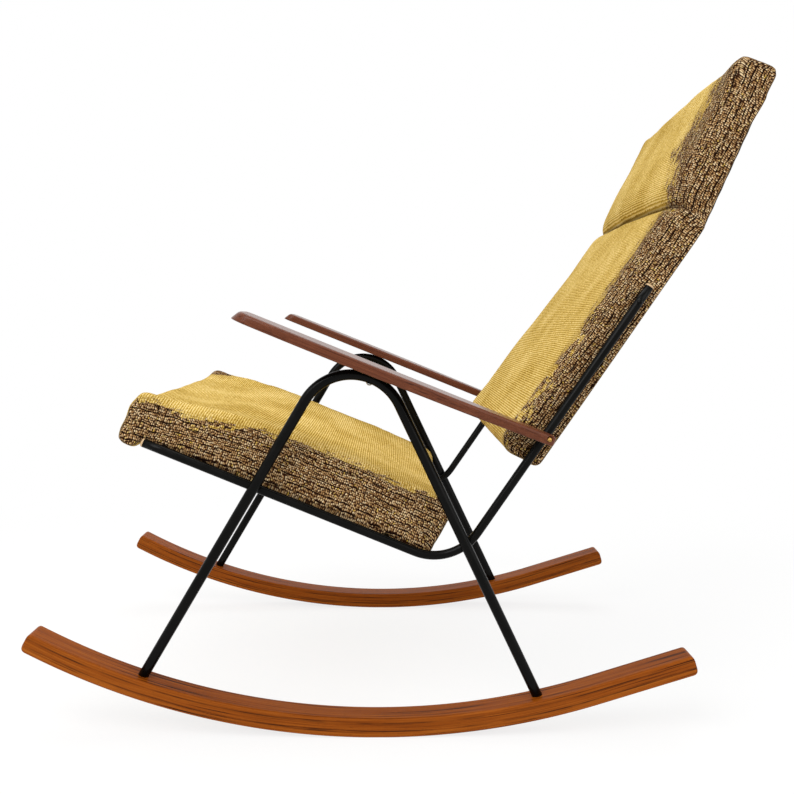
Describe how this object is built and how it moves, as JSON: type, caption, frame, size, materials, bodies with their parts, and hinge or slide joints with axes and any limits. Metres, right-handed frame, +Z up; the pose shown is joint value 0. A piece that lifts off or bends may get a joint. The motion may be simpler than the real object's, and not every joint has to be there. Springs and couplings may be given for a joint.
{
  "type": "rocking chair",
  "caption": "High-back rocking chair: hooped steel tube frame on laminated wood runners, paddle arms, upholstered seat and a tall back with headrest",
  "frame": {"origin": "the point of the floor midway between the two runners' resting flats, at the lowest place of their arcs", "axes": "+X towards the chair's rear, +Y towards the sitter's right, +Z up; the chair faces -X and Y = 0 is its plane of symmetry"},
  "size_m": [0.9844, 0.6988, 0.8923],
  "materials": {
    "runner_wood": "satin",
    "arm_wood": "satin",
    "frame_paint": "gloss",
    "zinc_steel": "satin",
    "screw_brass": "satin",
    "cap_plastic": "satin",
    "inner_wood": "matte",
    "cover_tweed": "matte",
    "strap_webbing": "matte",
    "lining_cloth": "matte"
  },
  "bodies": {
    "root": {"runner_left": "runner_wood", "runner_right": "runner_wood", "leg_hoop_left": "frame_paint", "leg_hoop_right": "frame_paint", "side_rail_left": "frame_paint", "side_rail_right": "frame_paint", "front_crossbar": "frame_paint", "rear_crossbar": "frame_paint", "arm_left": "arm_wood", "arm_right": "arm_wood", "foot_plugs": "zinc_steel", "runner_bolts": "zinc_steel", "rail_end_caps": "cap_plastic", "arm_crown_screws": "zinc_steel", "arm_back_screws": "screw_brass", "back_upper_screws": "zinc_steel", "seat_board_screws": "zinc_steel", "seat_board": "inner_wood", "seat_nose_rail": "inner_wood", "seat_cushion": "cover_tweed", "back_stile_left": "inner_wood", "back_stile_right": "inner_wood", "back_lower_slat": "inner_wood", "back_middle_slat": "inner_wood", "back_top_slat": "inner_wood", "back_straps": "strap_webbing", "back_cushion": "cover_tweed", "back_lining": "lining_cloth"}
  },
  "joints": []
}
